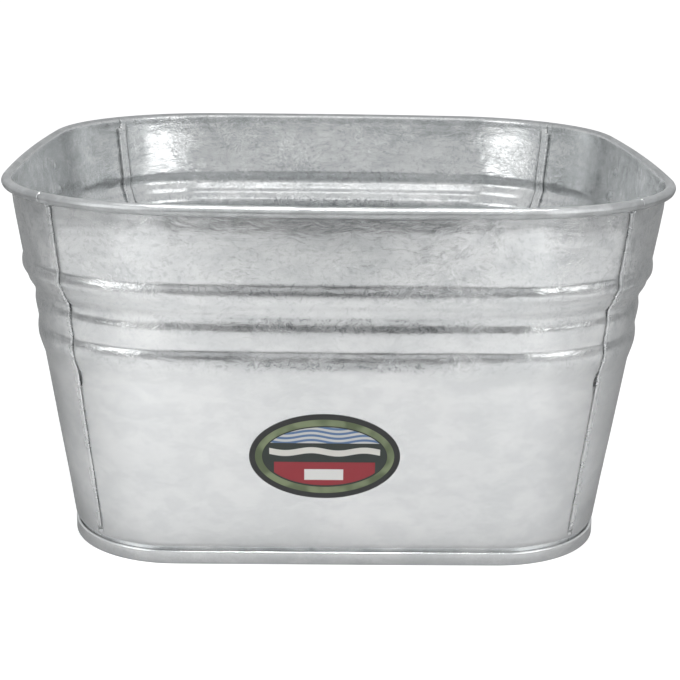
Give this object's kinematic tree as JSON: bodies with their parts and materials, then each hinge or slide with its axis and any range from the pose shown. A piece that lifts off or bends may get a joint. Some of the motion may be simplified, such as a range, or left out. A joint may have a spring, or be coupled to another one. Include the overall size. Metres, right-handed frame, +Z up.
{
  "type": "square galvanised tub",
  "caption": "Rounded-square galvanised steel tub with seamed corners, two swage beads, a rolled wire rim and swinging side bails, used as a stock water trough.",
  "frame": {"origin": "on the ground under the middle of the tub", "axes": "+Z up, front with the label faces -Y, bails on the -X and +X sides"},
  "size_m": [0.526, 0.526, 0.287],
  "materials": {
    "galvanised_sheet": "hot-dip zinc, cloudy satin with fine wrinkles",
    "galvanised_wire": "hot-dip zinc, slightly lumpy",
    "galvanised_ear": "hot-dip zinc over stamped sheet",
    "rivet_steel": "hot-dip zinc over a set rivet",
    "label_print": "printed sticker, satin film"
  },
  "bodies": {
    "tub": {"front_panel": "galvanised_sheet", "right_panel": "galvanised_sheet", "rear_panel": "galvanised_sheet", "left_panel": "galvanised_sheet", "bottom_pan": "galvanised_sheet", "rim_wire": "galvanised_wire", "front_label": "label_print", "left_front_ear": "galvanised_ear", "left_rear_ear": "galvanised_ear", "right_front_ear": "galvanised_ear", "right_rear_ear": "galvanised_ear", "left_front_lower_rivet": "rivet_steel", "left_front_upper_rivet": "rivet_steel", "left_rear_lower_rivet": "rivet_steel", "left_rear_upper_rivet": "rivet_steel", "right_front_lower_rivet": "rivet_steel", "right_front_upper_rivet": "rivet_steel", "right_rear_lower_rivet": "rivet_steel", "right_rear_upper_rivet": "rivet_steel"},
    "left_handle": {"left_bail": "galvanised_wire"},
    "right_handle": {"right_bail": "galvanised_wire"}
  },
  "joints": [
    {"name": "left_bail_swing", "type": "hinge", "parent": "tub", "child": "left_handle", "pos_m": [-0.25475, 0, 0.24938], "axis": [0, 1, 0], "range_deg": [-6, 160]},
    {"name": "right_bail_swing", "type": "hinge", "parent": "tub", "child": "right_handle", "pos_m": [0.25475, 0, 0.24938], "axis": [0, -1, 0], "range_deg": [-6, 160]}
  ]
}
